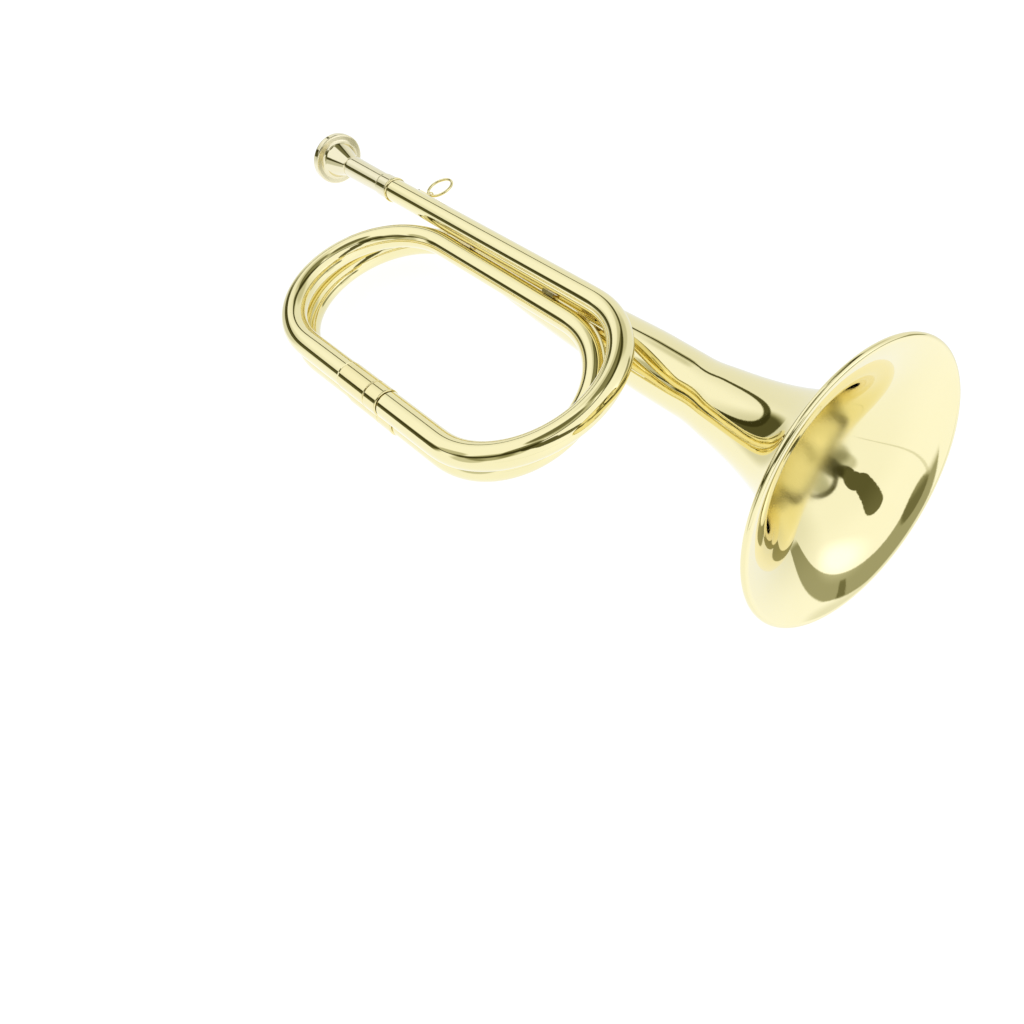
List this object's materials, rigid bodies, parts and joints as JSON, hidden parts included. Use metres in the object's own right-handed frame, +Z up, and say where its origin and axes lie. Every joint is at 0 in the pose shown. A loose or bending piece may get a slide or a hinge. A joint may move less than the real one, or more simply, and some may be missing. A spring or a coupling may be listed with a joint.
{
  "type": "bugle",
  "caption": "Valveless two-coil signal horn with a flared bell, a removable mouthpiece, sleeved tube joints and a lanyard ring.",
  "frame": {"origin": "centre of the bottom of the bounding box, on the plane the bugle lies on", "axes": "+Z up from the plane it lies on; +X along the instrument from the mouthpiece to the bell mouth, along the ground; +Y from the ferrule legs of the coils towards the leadpipe"},
  "size_m": [0.3848, 0.1772, 0.1319],
  "materials": {
    "lacquered_brass": "polished and lacquered",
    "pale_brass": "polished and lacquered, slightly paler",
    "wire_steel": "plain drawn wire, hidden in the rolled rim"
  },
  "bodies": {
    "horn": {"bell": "lacquered_brass", "bell_rim_wire": "wire_steel", "lanyard_eye": "lacquered_brass", "lanyard_plate": "lacquered_brass", "leadpipe_branch": "lacquered_brass", "lower_ferrule": "lacquered_brass", "lower_ferrule_bead": "lacquered_brass", "lower_rear_bow": "lacquered_brass", "middle_branch": "lacquered_brass", "mouthpiece_receiver": "pale_brass", "receiver_collar": "lacquered_brass", "stay_bell_front": "lacquered_brass", "stay_bell_rear": "lacquered_brass", "stay_leadpipe_front": "lacquered_brass", "stay_leadpipe_rear": "lacquered_brass", "stay_legs": "lacquered_brass", "upper_ferrule": "lacquered_brass", "upper_ferrule_bead": "lacquered_brass"},
    "mouthpiece": {"mouthpiece": "pale_brass"},
    "ring": {"lanyard_ring": "lacquered_brass"}
  },
  "joints": [
    {"name": "mouthpiece_slide", "type": "slide", "parent": "horn", "child": "mouthpiece", "axis": [-0.972, 0.0011, -0.2349], "range_m": [0, 0.0173]},
    {"name": "lanyard_ring_hinge", "type": "hinge", "parent": "horn", "child": "ring", "pos_m": [-0.10949, 0.02434, 0.03051], "axis": [0.972, -0.0011, 0.2349], "range_deg": [-110, 85]}
  ]
}
